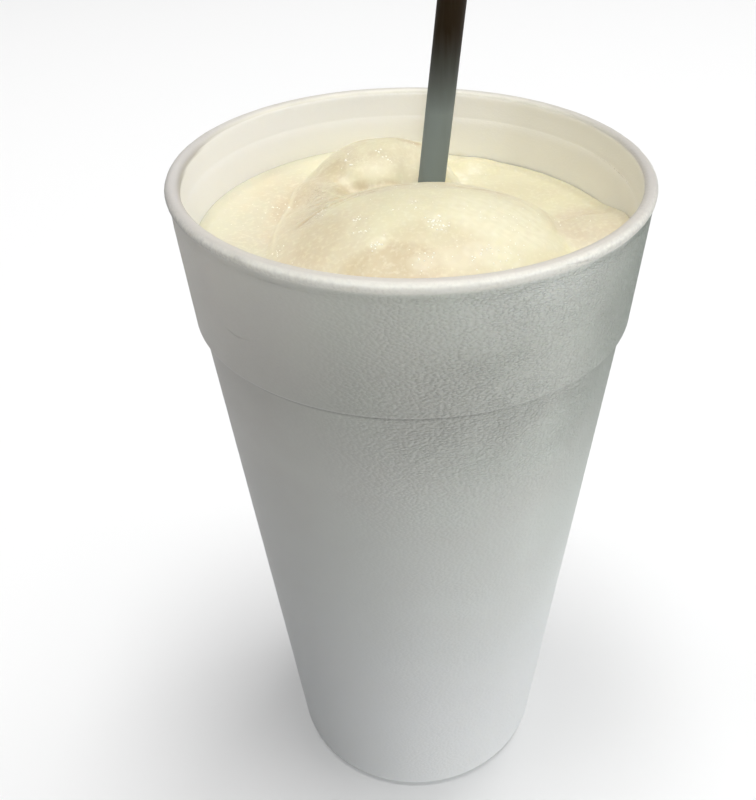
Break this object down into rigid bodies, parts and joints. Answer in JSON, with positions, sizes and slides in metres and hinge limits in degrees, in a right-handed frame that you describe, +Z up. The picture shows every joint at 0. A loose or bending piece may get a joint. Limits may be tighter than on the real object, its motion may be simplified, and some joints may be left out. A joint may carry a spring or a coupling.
{
  "type": "milkshake",
  "caption": "Tall tapered foam cup with a stacking band and a rolled rim, filled with a mounded pale milkshake that holds a leaning straw.",
  "frame": {"origin": "on the cup's axis, in the plane that the cup stands on", "axes": "+Z up the cup, -Y towards the side with the front dome of shake, +X to the right of that view"},
  "size_m": [0.112, 0.112, 0.272],
  "materials": {
    "foam": "off-white moulded foam, finely pebbled, satin",
    "shake": "pale yellow cream, wet and glossy",
    "straw": "dark grey-green, semi-gloss"
  },
  "bodies": {
    "root": {"cup": "foam", "milkshake": "shake", "straw": "straw"}
  },
  "joints": []
}
